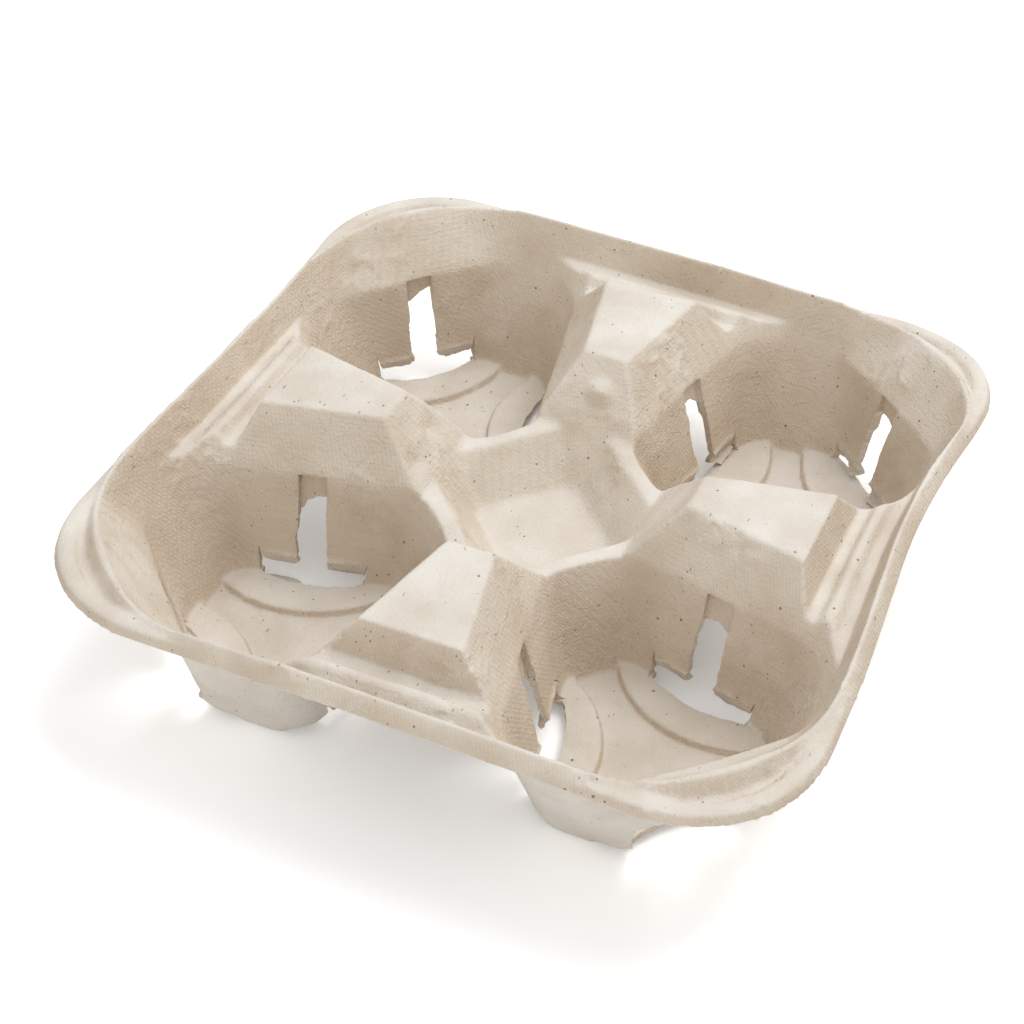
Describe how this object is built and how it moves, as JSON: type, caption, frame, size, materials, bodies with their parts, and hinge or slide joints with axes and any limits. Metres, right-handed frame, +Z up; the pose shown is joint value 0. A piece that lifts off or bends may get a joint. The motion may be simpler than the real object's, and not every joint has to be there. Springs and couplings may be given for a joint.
{
  "type": "cup carrier",
  "caption": "Moulded paper pulp cup carrier: a square tray with tapered wells, slotted gripping flats, hollow pillars, a middle pocket and a rolled rim",
  "frame": {"origin": "centre of the tray on the plane its four feet rest on", "axes": "+Z up out of the wells; X and Y along the tray's sides, so that the wells stand on the diagonals and the pillars on the axes"},
  "size_m": [0.216, 0.216, 0.052],
  "materials": {
    "pulp": "moulded pulp, matt, with a fine wire-mesh imprint"
  },
  "bodies": {
    "root": {"cup_carrier": "pulp"}
  },
  "joints": []
}
